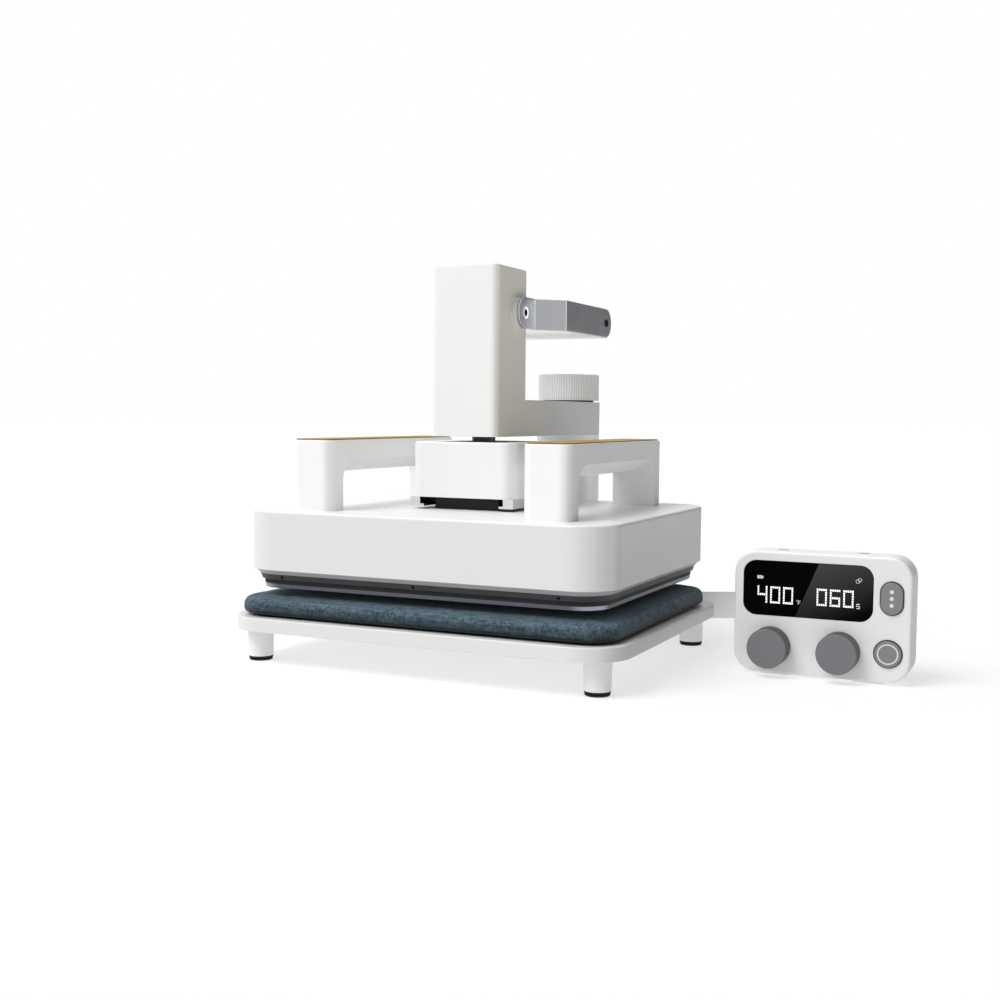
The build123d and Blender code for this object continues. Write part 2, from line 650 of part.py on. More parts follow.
def finger_gap_side():
    """The handle's opening as seen from the side, with large round upper corners."""
    z0 = SHELL_Z1 - 5
    outline = Plane.YZ * Pos((HANDLE_LEG_Y0 + HANDLE_LEG_Y1) / 2, (z0 + GRIP_SIDE_Z) / 2) \
        * Rectangle(HANDLE_LEG_Y1 - HANDLE_LEG_Y0, GRIP_SIDE_Z - z0)
    corners = outline.vertices().filter_by(lambda v: v.Z > SHELL_Z1)
    outline = fillet(corners, FINGER_GAP_R)
    return Pos(HANDLE_XI - 10, 0, 0) * extrude(outline, HANDLE_XO - HANDLE_XI + 20)


def handle(side):
    """Bridge handle whose grip is V-shaped below."""
    mid_x, mid_y = (HANDLE_XI + HANDLE_XO) / 2, (HANDLE_Y0 + HANDLE_Y1) / 2
    width, depth = HANDLE_XO - HANDLE_XI, HANDLE_Y1 - HANDLE_Y0
    body = rounded(width, depth, 11.0, SHELL_Z1, HANDLE_TOP, mid_x, mid_y)
    body = fillet(top_rim(body), 1.6)
    under = Polyline((HANDLE_XI - 5, SHELL_Z1 - 5), (HANDLE_XO + 5, SHELL_Z1 - 5),
                     (HANDLE_XO + 5, GRIP_SIDE_Z + 3), (HANDLE_XO, GRIP_SIDE_Z),
                     (mid_x, GRIP_RIDGE_Z), (HANDLE_XI, GRIP_SIDE_Z),
                     (HANDLE_XI - 5, GRIP_SIDE_Z + 3), close=True)
    profile = make_face(under)
    profile = fillet(profile.vertices().filter_by(lambda v: abs(v.X - mid_x) < 1), 7.0)
    gap = extrude(Plane.XZ * profile, HANDLE_LEG_Y1 - HANDLE_LEG_Y0)
    body -= (Pos(0, HANDLE_LEG_Y1, 0) * gap) & finger_gap_side()
    for x, y in handle_screw_places():
        body -= rod(2.5, SHELL_Z1 - 1, SHELL_Z1 + 8, x, y)
    return body if side > 0 else mirror(body, about=Plane.YZ)


def handle_strip(side):
    """Heat-proof strip let onto the top of the handle."""
    inset = 2.4
    mid_x, mid_y = (HANDLE_XI + HANDLE_XO) / 2, (HANDLE_Y0 + HANDLE_Y1) / 2
    width = HANDLE_XO - HANDLE_XI - 2 * inset
    depth = HANDLE_Y1 - HANDLE_Y0 - 2 * inset
    strip = rounded(width, depth, 8.6, HANDLE_TOP, HANDLE_TOP + STRIP_T, side * mid_x, mid_y)
    return fillet(top_rim(strip), 0.5)


# ------------------------------------------------------------------ control box
def box_body(y0, y1, inset=0.0):
    """Rounded slab of the control box between two depths."""
    width, height = BOX_W - 2 * inset, BOX_Z1 - BOX_Z0 - 2 * inset
    sketch = Plane.XZ * Pos(BOX_X, (BOX_Z0 + BOX_Z1) / 2) \
        * RectangleRounded(width, height, BOX_R - inset)
    return Pos(0, y1, 0) * extrude(sketch, y1 - y0)


def pill(x, z, width, height, radius, y0, y1):
    """Rounded slab facing -Y between two depths."""
    sketch = Plane.XZ * Pos(x, z) * RectangleRounded(width, height, radius)
    return Pos(0, y1, 0) * extrude(sketch, y1 - y0)


def control_front():
    """Front half of the control box, with its window and button openings."""
    body = box_body(BOX_Y0, BOX_SPLIT_Y)
    body = fillet(body.faces().sort_by(Axis.Y)[0].edges(), 3.0)
    body -= box_body(BOX_Y0 + BOX_WALL, BOX_SPLIT_Y + 1, BOX_WALL)
    body -= pill(WINDOW_X, WINDOW_Z, WINDOW_W, WINDOW_H, 13.0, BOX_Y0 - 1, BOX_Y0 + 1.6)
    body -= pill(WINDOW_X, WINDOW_Z, WINDOW_W - 8, WINDOW_H - 8, 9.0, BOX_Y0, BOX_Y0 + 4)
    body -= pill(MENU_X, MENU_Z, MENU_W + 1, MENU_H + 1, MENU_W / 2 + 0.4, BOX_Y0 - 1, BOX_Y0 + 4)
    body -= rod_y(START_R + 0.5, BOX_Y0 - 1, BOX_Y0 + 4, START_X, START_Z)
    for x in DIAL_XS:
        body -= rod_y(4.0, BOX_Y0 - 1, BOX_Y0 + 4, x, DIAL_Z)
    body -= Pos(TOP_KEY_X, TOP_KEY_Y, BOX_Z1) * extrude(SlotOverall(11.0, 4.6), 6, both=True)
    for x, z in box_screw_places():
        body += rod_y(3.5, BOX_Y0 + 2, BOX_Y0 + 16, x, z) - rod_y(1.6, BOX_Y0 + 8, BOX_Y0 + 17, x, z)
    return body


def control_back():
    """Back half of the control box, with the charging port's slot."""
    body = box_body(BOX_SPLIT_Y, BOX_Y1)
    body = fillet(body.faces().sort_by(Axis.Y)[-1].edges(), 3.0)
    body -= box_body(BOX_SPLIT_Y - 1, BOX_Y1 - BOX_WALL, BOX_WALL)
    body -= Pos(PORT_X, PORT_Y, BOX_Z1) * extrude(SlotOverall(12.6, 4.6), 5, both=True)
    for x, z in box_screw_places():
        body -= rod_y(1.6, BOX_Y1 - 5, BOX_Y1 + 1, x, z)
    return body


def box_screw_places():
    half = BOX_W / 2 - 12
    return [(BOX_X + sx * half, z) for sx in (-1, 1) for z in (BOX_Z0 + 12.5, BOX_Z1 - 14)]


def control_screws():
    screws = []
    for x, z in box_screw_places():
        screws.append(rod_y(1.6, BOX_Y0 + 10, BOX_Y1 - 0.6, x, z))
    return screws


def control_feet():
    """Two rubber strips under the control box."""
    return [block(x - 14, x + 14, BOX_Y0 + 8, BOX_Y1 - 8, 0, BOX_Z0)
            for x in (BOX_X - 45, BOX_X + 45)]


def display_window():
    return pill(WINDOW_X, WINDOW_Z, WINDOW_W - 0.4, WINDOW_H - 0.4, 12.8, BOX_Y0 - 0.2, BOX_Y0 + 1.6)


def control_board():
    """Circuit board with the encoders' and switches' bodies on it."""
    board_y = BOX_Y0 + 16.0
    board = pill(BOX_X, 62.4, 156.0, 104.0, 14.0, board_y, board_y + 1.6)
    for x in DIAL_XS:
        board += pill(x, DIAL_Z, 13, 13, 1.0, board_y - 8, board_y)
        board -= rod_y(3.0 + RUNNING_FIT, BOX_Y0, board_y + 3, x, DIAL_Z)
    for x, z in ((MENU_X, MENU_Z), (START_X, START_Z)):
        board += pill(x, z, 6, 6, 0.8, board_y - 7.5, board_y)
    for x, z in box_screw_places():
        board -= rod_y(2.2, BOX_Y0, BOX_Y1, x, z)
    return board


def display_module():
    return pill(WINDOW_X, WINDOW_Z, 112, 44, 8.0, BOX_Y0 + 1.6, BOX_Y0 + 7.6)


def battery():
    return pill(BOX_X - 12, 62.0, 90, 46, 3.0, BOX_Y0 + 17.6, BOX_Y0 + 29)


def charging_port():
    """Socket shell under the slot in the top edge."""
    slot = Pos(PORT_X, PORT_Y, BOX_Z1 - 9.0) * extrude(SlotOverall(12.2, 4.4), 8.0)
    return slot - Pos(PORT_X, PORT_Y, BOX_Z1 - 7.5) * extrude(SlotOverall(10.6, 3.2), 8.0)


def dial(x):
    """Round dial on its encoder shaft."""
    end = BOX_Y0 - 0.5
    body = rod_y(DIAL_R, end - DIAL_L, end, x, DIAL_Z)
    body = fillet(body.faces().sort_by(Axis.Y)[0].edges(), 1.4)
    return body + rod_y(3.0, end - 1, BOX_Y0 + 15, x, DIAL_Z)


def menu_button():
    body = pill(MENU_X, MENU_Z, MENU_W, MENU_H, MENU_W / 2 - 0.01, BOX_Y0 - BUTTON_PROUD,
                BOX_Y0 + 4)
    body = fillet(body.faces().sort_by(Axis.Y)[0].edges(), BUTTON_ROUND)
    return body + pill(MENU_X, MENU_Z, MENU_W + 3, MENU_H + 3, 8.0, BOX_Y0 + 2.7, BOX_Y0 + 4.6)


def start_button():
    body = rod_y(START_R, BOX_Y0 - BUTTON_PROUD, BOX_Y0 + 4, START_X, START_Z)
    body = fillet(body.faces().sort_by(Axis.Y)[0].edges(), BUTTON_ROUND)
    body += rod_y(START_R + 1.5, BOX_Y0 + 2.7, BOX_Y0 + 4.6, START_X, START_Z)
    front = BOX_Y0 - BUTTON_PROUD
    groove = rod_y(9.9, front - 1, front + 0.3, START_X, START_Z)
    return body - (groove - rod_y(9.0, front - 2, front + 1, START_X, START_Z))


def power_key():
    """Small key in the control box's top edge."""
    place = Pos(TOP_KEY_X, TOP_KEY_Y, BOX_Z1 - 5.0)
    key = extrude(SlotOverall(10.2, 3.8), 6.0) + extrude(SlotOverall(12.6, 5.4), 2.3)
    return place * key


# ------------------------------------------------------------------ bar to the control box
def control_bar():
    """Flat bar, bent in plan, from the platform's back edge to the control box's back."""
    line_y, box_line_y = PLATFORM_D / 2 + BAR_T / 2, BOX_Y1 + BAR_T / 2
    points = [(BAR_START_X, line_y), (BAR_LEAVE_X, line_y), (300.0, 243.5),
              (322.0, box_line_y), (404.0, box_line_y)]
    line = FilletPolyline(*points, radius=[14.0, 40.0, 14.0])
    bar = Pos(0, 0, BAR_Z0) * extrude(trace(line, BAR_T), BAR_Z1 - BAR_Z0)
    for x in bar_bolt_xs():
        bar -= rod_y(2.5, PLATFORM_D / 2 - 1, PLATFORM_D / 2 + 5, x, BAR_BOLT_Z)
    return bar


def main():
    os.makedirs("parts", exist_ok=True)
    save("base_platform", base_platform())
    save("platform_legs", *platform_legs())
    save("rubber_feet", *rubber_feet())
    save("frame_bolts", *frame_bolts())
    save("post_base", post_base())
    save("post", post())
    save("swing_washer", swing_washer())
    save("pad_sheet", pad_sheet())
    save("pad", pad())
    save("control_bar", control_bar())
    save("arm_housing", arm_housing())
    save("arm_cover", arm_cover())
    save("swing_bush", swing_bush())
    save("back_cover", back_cover())
    save("column_floor", column_floor())
    save("guide_bush", guide_bush())
    save("pivot_bosses", *pivot_bosses())
    save("return_spring", return_spring())
    save("clamp_knob", clamp_knob())
    save("knob_spindle", knob_spindle())
    save("left_lever_plate", lever_plate(-1))
    save("right_lever_plate", lever_plate(1))
    save("lever_grip", lever_grip())
    save("lever_shaft", lever_shaft())
    save("lever_cam", lever_cam())
    save("pivot_screws", *pivot_screws())
    save("grip_screws", *grip_screws())
    save("plunger_shaft", plunger_shaft())
    save("coupling_cover", coupling_cover())
    save("coupling_block", coupling_block())
    save("coupling_rails", *coupling_rails())
    save("rail_screws", *rail_screws())
    save("head_shell", head_shell())
    save("head_skirt", head_skirt())
    save("head_screws", *head_screws())
    save("heat_gasket", heat_gasket())
    save("platen", platen())
    save("heating_element", heating_element())
    save("insulation_blanket", insulation_blanket())
    save("thermostat", thermostat())
    save("mount_plate", mount_plate())
    save("left_handle", handle(-1))
    save("right_handle", handle(1))
    save("left_handle_strip", handle_strip(-1))
    save("right_handle_strip", handle_strip(1))
    save("power_inlet", power_inlet())
    save("control_front", control_front())
    save("control_back", control_back())
    save("display_window", display_window())
    save("display_module", display_module())
    save("control_board", control_board())
    save("battery", battery())
    save("control_screws", *control_screws())
    save("control_feet", *control_feet())
    save("charging_port", charging_port())
    save("temperature_dial", dial(DIAL_XS[0]))
    save("time_dial", dial(DIAL_XS[1]))
    save("menu_button", menu_button())
    save("start_button", start_button())
    save("power_key", power_key())


main()
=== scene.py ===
"""Looks of the swing-arm heat press: cloth pad, display and lights, and every material.

All lengths are in metres in the row frame, X to the operator's right, Y to the back, Z up.
"""

import math

import bmesh
import bpy
from mathutils import Matrix, Vector, noise


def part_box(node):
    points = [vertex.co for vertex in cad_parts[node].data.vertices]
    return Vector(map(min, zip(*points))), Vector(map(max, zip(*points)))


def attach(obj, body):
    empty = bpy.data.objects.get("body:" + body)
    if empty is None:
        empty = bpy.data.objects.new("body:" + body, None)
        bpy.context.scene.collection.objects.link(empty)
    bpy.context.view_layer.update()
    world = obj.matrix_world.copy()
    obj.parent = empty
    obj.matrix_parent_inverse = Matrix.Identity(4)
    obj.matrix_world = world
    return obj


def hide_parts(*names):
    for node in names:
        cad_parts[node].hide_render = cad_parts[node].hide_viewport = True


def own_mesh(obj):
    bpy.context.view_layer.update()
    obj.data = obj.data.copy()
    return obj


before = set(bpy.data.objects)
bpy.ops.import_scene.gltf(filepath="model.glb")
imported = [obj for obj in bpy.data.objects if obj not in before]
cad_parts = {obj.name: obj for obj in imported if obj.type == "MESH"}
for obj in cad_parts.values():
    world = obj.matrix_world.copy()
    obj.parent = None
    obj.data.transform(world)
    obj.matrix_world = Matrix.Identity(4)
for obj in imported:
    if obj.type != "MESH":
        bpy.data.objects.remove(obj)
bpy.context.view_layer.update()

MM = 0.001


# ---------------------------------------------------------------- node helpers
class Graph:
    """A material's node tree, with short calls for the nodes used here."""

    def __init__(self, name):
        self.material = bpy.data.materials.new(name)
        self.material.use_nodes = True
        self.tree = self.material.node_tree
        self.shader = self.tree.nodes["Principled BSDF"]
        coordinates = self.tree.nodes.new("ShaderNodeTexCoord")
        self.place = coordinates.outputs["Object"]

    def add(self, kind, settings=None, **inputs):
        """New node; inputs are values or sockets, with spaces in their names as underscores."""
        made = self.tree.nodes.new("ShaderNode" + kind)
        for key, value in (settings or {}).items():
            setattr(made, key, value)
        for key, value in inputs.items():
            self.feed(made.inputs[key.replace("_", " ")], value)
        return made

    def feed(self, socket, value):
        if isinstance(value, bpy.types.NodeSocket):
            self.tree.links.new(value, socket)
        else:
            socket.default_value = value

    def scaled(self, factors):
        return self.add("Mapping", Vector=self.place, Scale=factors).outputs[0]

    def noise(self, scale, detail=3.0, place=None, roughness=0.5, distortion=0.0):
        made = self.add("TexNoise", Vector=place or self.place, Scale=scale, Detail=detail,
                        Roughness=roughness, Distortion=distortion)
        return made.outputs["Fac"]

    def remap(self, value, low, high, to_low, to_high):
        made = self.add("MapRange")
        for index, item in enumerate((value, low, high, to_low, to_high)):
            self.feed(made.inputs[index], item)
        return made.outputs[0]

    def math(self, operation, first, second=0.0):
        made = self.add("Math", {"operation": operation})
        self.feed(made.inputs[0], first)
        self.feed(made.inputs[1], second)
        return made.outputs[0]

    def mix(self, factor, first, second, blend="MIX"):
        made = self.add("Mix", {"data_type": "RGBA", "blend_type": blend})
        self.feed(made.inputs[0], factor)
        self.feed(made.inputs[6], first)
        self.feed(made.inputs[7], second)
        return made.outputs[2]

    def bump(self, height, strength, distance, normal=None):
        made = self.add("Bump", Height=height, Strength=strength, Distance=distance)
        if normal is not None:
            self.feed(made.inputs["Normal"], normal)
        return made.outputs[0]

    def offset(self, axis, middle=0.0):
        """How far a point lies from a middle along one axis."""
        place = self.add("SeparateXYZ", Vector=self.place).outputs[axis]
        return self.math("SUBTRACT", place, middle)

    def reach(self, first, second):
        """Length of an offset given by its two parts."""
        squares = [self.math("MULTIPLY", part, part) for part in (first, second)]
        return self.math("SQRT", self.math("ADD", *squares))

    def facing(self, axis):
        """How far the surface looks along one of its own axes, from -1 to 1."""
        normal = self.add("TexCoord").outputs["Normal"]
        return self.add("SeparateXYZ", Vector=normal).outputs[axis]

    def facing_either(self, axis):
        """The same for both ways along the axis, from 0 to 1."""
        return self.math("ABSOLUTE", self.facing(axis))

    def colour(self):
        """Socket of the colour set so far."""
        return self.shader.inputs["Base Color"].links[0].from_socket

    def recolour(self, value):
        self.feed(self.shader.inputs["Base Color"], value)

    def scaled_tone(self, tone, factor):
        made = self.add("VectorMath", {"operation": "SCALE"})
        self.feed(made.inputs[0], tone)
        self.feed(made.inputs["Scale"], factor)
        return made.outputs[0]

    def scale_colour(self, factor):
        """Multiply the colour set so far."""
        self.recolour(self.scaled_tone(self.colour(), factor))

    def paint_face_light(self, top, side):
        """Painted light and shade: lighten or darken the faces that look up, and those that look
        sideways.
        """
        self.scale_colour(self.remap(self.facing("Z"), 0.4, 0.95, 1.0, top))
        self.scale_colour(self.remap(self.facing_either("X"), 0.6, 0.97, 1.0, side))

    def edges(self, radius):
        """Rounded normals, and a mask that is 1 along sharp edges."""
        soft = self.add("Bevel", {"samples": 4}, Radius=radius).outputs[0]
        sharp = self.add("NewGeometry").outputs["Normal"]
        dot = self.add("VectorMath", {"operation": "DOT_PRODUCT"})
        self.feed(dot.inputs[0], soft)
        self.feed(dot.inputs[1], sharp)
        return soft, self.remap(dot.outputs["Value"], 0.99, 0.86, 0.0, 1.0)


def shade(colour, factor):
    return tuple(min(1.0, c * factor) for c in colour[:3]) + (1.0,)


def surface(name, colour, rough, metallic=0.0, grain=1500.0, relief=0.05, mottle=0.03,
            wear=0.06, radius=0.0004, stretch=(1, 1, 1), rough_span=0.08, wear_and_highlight_gain=1.5,
            **constants):
    """Finish with fine grain, cloudy colour and roughness, and sharp edges lightened: part wear,
    part painted highlight.
    """
    g = Graph(name)
    place = g.scaled(stretch)
    fine = g.noise(grain, 2.0, place)
    broad = g.noise(9.0, 4.0)
    smudge = g.noise(42.0, 5.0, roughness=0.65)
    tone = g.mix(broad, shade(colour, 1 - mottle), shade(colour, 1 + mottle))
    soft, edge = g.edges(radius)
    # Sharp edges lightened towards a brighter tone: part wear, part painted highlight.
    g.recolour(g.mix(g.math("MULTIPLY", edge, wear), tone, shade(colour, wear_and_highlight_gain)))
    roughness = g.remap(smudge, 0.3, 0.7, rough - rough_span / 2, rough + rough_span / 2)
    g.feed(g.shader.inputs["Roughness"], g.math("ADD", roughness, g.math("MULTIPLY", edge, -0.05)))
    g.feed(g.shader.inputs["Metallic"], metallic)
    g.feed(g.shader.inputs["Normal"], g.bump(fine, relief, 0.0002, soft))
    for key, value in constants.items():
        g.shader.inputs[key.replace("_", " ")].default_value = value
    return g


def dress(material, *names):
    """Give CAD nodes this material in every slot."""
    for name in names:
        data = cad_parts[name].data
        data.materials.clear()
        data.materials.append(material)


# ---------------------------------------------------------------- materials
def paint_whites():
    paint = {"grain": 1100.0, "relief": 0.10, "mottle": 0.012, "wear": 0.10, "radius": 0.0006,
             "Coat_Weight": 0.12, "Coat_Roughness": 0.25}
    shell = surface("shell_enamel", (0.71, 0.71, 0.705), 0.42, **paint)
    # Painted light on the shell: tops lightened, sides darkened.
    shell.paint_face_light(1.35, 0.87)
    dress(shell.material, "head_shell")
    deck = surface("platform_enamel", (0.71, 0.71, 0.705), 0.42, **paint)
    # Painted light on the platform: tops lightened, sides darkened more.
    deck.paint_face_light(1.15, 0.74)
    dress(deck.material, "base_platform")
    # A lighter copy of the enamel for the coupling cover, with painted light on its tops and sides.
    cover = surface("cover_enamel", (0.86, 0.86, 0.855), 0.42, **paint)
    cover.paint_face_light(1.1, 1.14)
    dress(cover.material, "coupling_cover")
    # A lighter copy of the enamel for the post: painted light against the shade it sits in under
    # the arm.
    bright = surface("post_enamel", (0.97, 0.97, 0.965), 0.42, **paint)
    dress(bright.material, "post")
    # Arm and back cover enamel, with painted reflection and shade on the right-hand faces.
    warm = surface("arm_enamel", (0.84, 0.84, 0.835), 0.42, **paint)
    paint_side_reflection(warm)
    dress(warm.material, "arm_housing", "back_cover")
    plastic = surface("white_plastic", (0.75, 0.75, 0.745), 0.46, grain=2600.0, relief=0.16,
                      mottle=0.012, wear=0.08)
    # Painted light on the control box: tops lightened, sides darkened.
    plastic.paint_face_light(1.33, 0.84)
    # Painted shade in the charging slot.
    shade_port_walls(plastic)
    dress(plastic.material, "control_front", "control_back")
    # Painted light: the left handle's sides lightened and the right handle's darkened, as two
    # copies of one plastic.
    for side, side_light in (("left", 1.12), ("right", 0.85)):
        pale = surface(side + "_handle_plastic", (0.88, 0.88, 0.875), 0.46, grain=2600.0,
                       relief=0.16, mottle=0.012, wear=0.05)
        pale.paint_face_light(1.05, side_light)
        dress(pale.material, side + "_handle")
    legs = surface("leg_plastic", (0.84, 0.84, 0.83), 0.5, grain=2200.0, relief=0.14, mottle=0.02)
    dress(legs.material, "platform_legs", "control_feet")
    grey = surface("light_grey", (0.90, 0.90, 0.89), 0.45, grain=1800.0, relief=0.12, mottle=0.02)
    dress(grey.material, "control_bar", "swing_washer")
    boss = surface("boss_grey", (0.74, 0.74, 0.73), 0.42, grain=1800.0, relief=0.12, mottle=0.02)
    dress(boss.material, "pivot_bosses")
    # A lighter copy of the pale plastic for the grip: painted light against its shade under the
    # lever.
    grip = surface("grip_grey", (0.97, 0.97, 0.96), 0.5, grain=2600.0, relief=0.2, mottle=0.015)
    dress(grip.material, "lever_grip")


PORT_GAP = 0.11 * MM


def shade_port_walls(g):
    """Painted shade: black walls inside the charging slot."""
    low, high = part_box("charging_port")
    middle, radius = (low + high) / 2, (high.y - low.y) / 2
    straight = (high.x - low.x) / 2 - radius
    across = g.math("ABSOLUTE", g.offset("X", middle.x))
    past = g.math("MAXIMUM", g.math("SUBTRACT", across, straight), 0.0)
    reach = g.reach(past, g.offset("Y", middle.y))
    g.scale_colour(g.remap(reach, radius + PORT_GAP, radius + 1.1 * PORT_GAP, 0.01, 1.0))


ARM_START, ARM_COOL = 85.0 * MM, 150.0 * MM


def paint_side_reflection(g):
    """Right-hand faces: a painted warm reflection on the column, turning to a painted cool grey
    shade along the arm.
    """
    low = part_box("arm_housing")[0]
    along = g.remap(g.offset("Y", low.y), ARM_START, ARM_COOL, 0.0, 1.0)
    side = g.mix(along, (0.945, 0.91, 0.83, 1), (0.80, 0.82, 0.825, 1))
    cast = g.mix(g.remap(g.facing("X"), 0.5, 0.9, 0.0, 1.0), (1, 1, 1, 1), side)
    g.recolour(g.mix(1.0, g.colour(), cast, "MULTIPLY"))


FLUTE_DEPTH = 0.7 * MM


def paint_knob():
    """Pale plastic with painted shade down in the flutes and on the right-hand side."""
    g = surface("knob_plastic", (0.93, 0.93, 0.925), 0.46, grain=2600.0, relief=0.16,
                mottle=0.012, wear=0.05)
    low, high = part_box("clamp_knob")
    middle, radius = (low + high) / 2, (high.x - low.x) / 2
    reach = g.reach(g.offset("X", middle.x), g.offset("Y", middle.y))
    # Painted shade down in the flutes.
    flute_shade = g.remap(reach, radius - FLUTE_DEPTH, radius - 0.1 * MM, 0.78, 1.0)
    end_face = g.math("GREATER_THAN", g.facing_either("Z"), 0.5)
    g.scale_colour(g.math("MAXIMUM", flute_shade, end_face))
    # Painted shade: the right-facing side darker, the other sides a touch lighter.
    g.scale_colour(g.remap(g.facing("X"), 0.2, 1.0, 1.04, 0.88))
    dress(g.material, "clamp_knob")


SOCKET_R = 3.9 * MM


def shade_sockets(g):
    """Painted shade: black inside the pivot screws' sockets, round the lever's axis."""
    low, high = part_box("pivot_screws")
    middle = (low + high) / 2
    reach = g.reach(g.offset("Y", middle.y), g.offset("Z", middle.z))
    inside = g.remap(reach, SOCKET_R - 0.1 * MM, SOCKET_R, 1.0, 0.0)
    g.recolour(g.mix(inside, g.colour(), (0.004, 0.004, 0.004, 1)))


RAIL_SLOT_HALF, RAIL_LIP = 48.2 * MM, 0.4 * MM


def paint_rails():
    """Light grey outside, black inside the slot between the two rails."""
    g = surface("rail_grey", (0.66, 0.66, 0.65), 0.45, grain=1800.0, relief=0.12, mottle=0.02)
    low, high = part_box("coupling_rails")
    across = g.math("ABSOLUTE", g.offset("X", (low.x + high.x) / 2))
    slot = g.math("LESS_THAN", across, RAIL_SLOT_HALF)
    behind = g.math("GREATER_THAN", g.offset("Y", low.y), RAIL_LIP)
    # Black on the faces inside the slot.
    slot_black = g.math("MULTIPLY", slot, behind)
    g.recolour(g.mix(slot_black, g.colour(), (0.006, 0.006, 0.007, 1)))
    dress(g.material, "coupling_rails")


def paint_metals():
    # Painted highlights along the lever plates' bends, by strong lightening of their edges.
    lever = surface("lever_metal", (0.30, 0.305, 0.325), 0.33, metallic=0.8, grain=900.0,
                    relief=0.08, mottle=0.03, wear=0.9, stretch=(1, 0.25, 1), radius=0.0016,
                    wear_and_highlight_gain=2.6)
    # Painted light: the front-facing panels lightened.
    lever.scale_colour(lever.remap(lever.facing_either("Y"), 0.35, 0.7, 1.0, 1.32))
    dress(lever.material, "left_lever_plate", "right_lever_plate")
    platen = surface("platen_alloy", (0.098, 0.102, 0.125), 0.34, metallic=0.7, grain=700.0,
                     relief=0.12, mottle=0.05, wear=0.5, stretch=(0.04, 1, 1), rough_span=0.14)
    # Painted highlight on the platen's rounded corners, where faces look both sideways and forward
    # or back.
    corner = platen.math("MULTIPLY", platen.facing_either("X"), platen.facing_either("Y"))
    platen.scale_colour(platen.remap(corner, 0.05, 0.45, 1.0, 3.4))
    dress(platen.material, "platen")
    alloy = surface("alloy", (0.62, 0.63, 0.65), 0.34, metallic=1.0, grain=800.0, relief=0.1,
                    mottle=0.05, wear=0.3, stretch=(0.05, 1, 1))
    dress(alloy.material, "coupling_block")
    steel = surface("machined_steel", (0.50, 0.50, 0.52), 0.30, metallic=1.0, grain=900.0,
                    relief=0.12, mottle=0.06, wear=0.3, stretch=(0.1, 1, 1))
    dress(steel.material, "lever_shaft", "lever_cam", "thermostat", "control_screws",
          "return_spring")
    bright = surface("bright_screws", (0.86, 0.86, 0.88), 0.16, metallic=1.0, grain=600.0,
                     relief=0.05, mottle=0.03, wear=0.2)
    shade_sockets(bright)
    dress(bright.material, "pivot_screws")
    bronze = surface("bronze", (0.52, 0.33, 0.14), 0.4, metallic=1.0, grain=1400.0, relief=0.25,
                     mottle=0.12)
    dress(bronze.material, "guide_bush", "swing_bush")
    heater = surface("heater_tube", (0.20, 0.17, 0.15), 0.5, metallic=0.9, grain=500.0,
                     relief=0.2, mottle=0.25)
    dress(heater.material, "heating_element")


FOOT_RING = 2.2 * MM


def paint_blacks():
    satin = surface("black_steel", (0.009, 0.009, 0.010), 0.45, grain=1300.0, relief=0.18,
                    mottle=0.12, wear=0.10, Specular_IOR_Level=0.22)
    dress(satin.material, "post_base", "arm_cover", "column_floor", "knob_spindle", "mount_plate")
    oxide = surface("black_screws", (0.005, 0.005, 0.006), 0.38, grain=900.0,
                    relief=0.1, mottle=0.15, wear=0.3, Specular_IOR_Level=0.1)
    dress(oxide.material, "grip_screws", "head_screws", "rail_screws", "frame_bolts")
    shaft = surface("plunger_black", (0.022, 0.022, 0.025), 0.30, grain=900.0, relief=0.06,
                    mottle=0.1, wear=0.2, stretch=(1, 1, 0.05))
    dress(shaft.material, "plunger_shaft")
    rubber = surface("foot_rubber", (0.006, 0.006, 0.0065), 0.62, grain=1700.0, relief=0.35,
                     mottle=0.2, wear=0.1, Specular_IOR_Level=0.12)
    # Painted highlights: light lines round the feet where their grooves are.
    half = FOOT_RING / 2
    rings = rubber.math("PINGPONG", rubber.offset("Z"), half)
    rubber.scale_colour(rubber.remap(rings, 0.80 * half, 0.95 * half, 1.0, 12.0))
    dress(rubber.material, "rubber_feet")
    sheet = surface("pad_rubber", (0.005, 0.005, 0.0055), 0.7, grain=1700.0, relief=0.35,
                    mottle=0.2, wear=0.1, Specular_IOR_Level=0.12)
    dress(sheet.material, "pad_sheet")
    silicone = surface("gasket_black", (0.008, 0.008, 0.009), 0.8, grain=1500.0, relief=0.5,
                       mottle=0.25)
    dress(silicone.material, "heat_gasket")
    inlet = surface("inlet_black", (0.02, 0.02, 0.021), 0.5, grain=2200.0, relief=0.3, mottle=0.1)
    dress(inlet.material, "power_inlet", "display_module", "charging_port")


SKIRT_BAND, CREASE_BLUR = 5.7 * MM, 0.1 * MM


def paint_skirt():
    """Dark upright band below, mid grey slope above."""
    g = surface("skirt_plastic", (0.36, 0.365, 0.375), 0.5, grain=1800.0, relief=0.2, mottle=0.03)
    height = g.offset("Z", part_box("head_skirt")[0].z)
    band = g.remap(height, SKIRT_BAND - CREASE_BLUR, SKIRT_BAND + CREASE_BLUR, 0.06, 1.0)
    g.scale_colour(band)
    dress(g.material, "head_skirt")


